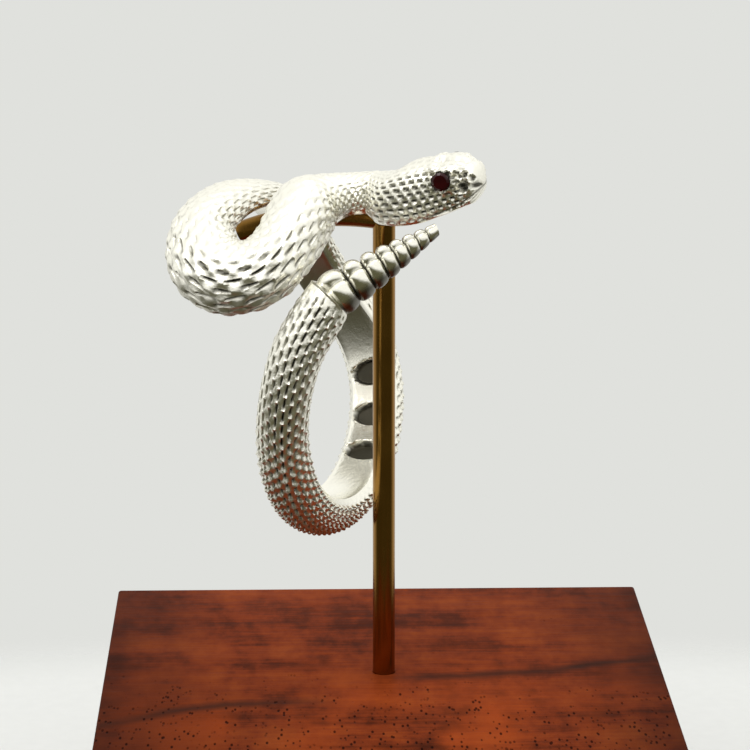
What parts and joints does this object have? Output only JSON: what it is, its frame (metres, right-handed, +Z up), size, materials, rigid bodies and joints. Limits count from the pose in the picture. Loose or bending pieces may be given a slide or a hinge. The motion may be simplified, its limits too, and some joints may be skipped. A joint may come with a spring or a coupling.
{
  "type": "snake wrap ring on a display stand",
  "caption": "Finger ring shaped as a coiled rattlesnake with raised scales and inset eye stones, hung from a bowed rod on a square wooden display block.",
  "frame": {"origin": "middle of the wooden block's underside", "axes": "+Z up, -Y towards the viewer, +X to the viewer's right, square with the block"},
  "size_m": [0.038, 0.038, 0.0545],
  "materials": {
    "silver": "fine satin, as cast",
    "eye_stone": "polished facets",
    "brass": "polished, lightly toned",
    "dark_wood": "oiled, open pores"
  },
  "bodies": {
    "root": {"snake": "silver", "eye_left": "eye_stone", "eye_right": "eye_stone", "stand_post": "brass", "stand_block": "dark_wood"}
  },
  "joints": []
}
